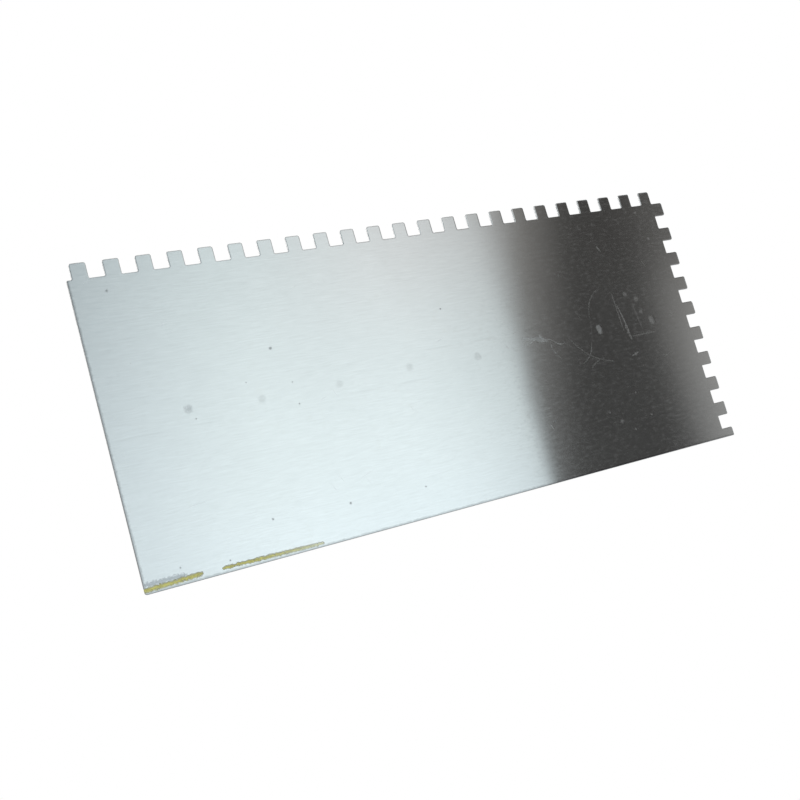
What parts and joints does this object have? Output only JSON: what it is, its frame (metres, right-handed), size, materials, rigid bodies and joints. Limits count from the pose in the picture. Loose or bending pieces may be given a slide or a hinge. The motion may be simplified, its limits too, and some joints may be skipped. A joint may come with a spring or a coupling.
{
  "type": "notched trowel",
  "caption": "Rectangular notched trowel for spreading tile adhesive: thin steel blade with square notches on adjacent long and short edges, channel rail and closed wooden handle.",
  "frame": {"origin": "centre of the blade's working face, which is the bottom of the part's box", "axes": "+X along the blade towards the notched short edge, +Y towards the plain long edge, +Z from the blade up to the handle"},
  "size_m": [0.278, 0.118, 0.077],
  "materials": {
    "blade_steel": "fine lengthwise brushing, light scratches",
    "rail_steel": "dull zinc plate with spot weld marks",
    "cast_aluminium": "satin, slightly grainy casting",
    "rivet_steel": "satin",
    "wood": "varnished beech",
    "ferrule_steel": "satin plate",
    "fastener_steel": "bright zinc plate"
  },
  "bodies": {
    "root": {"blade": "blade_steel", "rail": "rail_steel", "rear_post": "cast_aluminium", "front_post": "cast_aluminium", "rear_post_rivets": "rivet_steel", "front_post_rivets": "rivet_steel", "grip": "wood", "rear_ferrule": "ferrule_steel", "front_ferrule": "ferrule_steel", "tie_rod": "fastener_steel", "rear_washer": "fastener_steel", "front_washer": "fastener_steel", "rear_dome_nut": "fastener_steel", "front_dome_nut": "fastener_steel"}
  },
  "joints": []
}
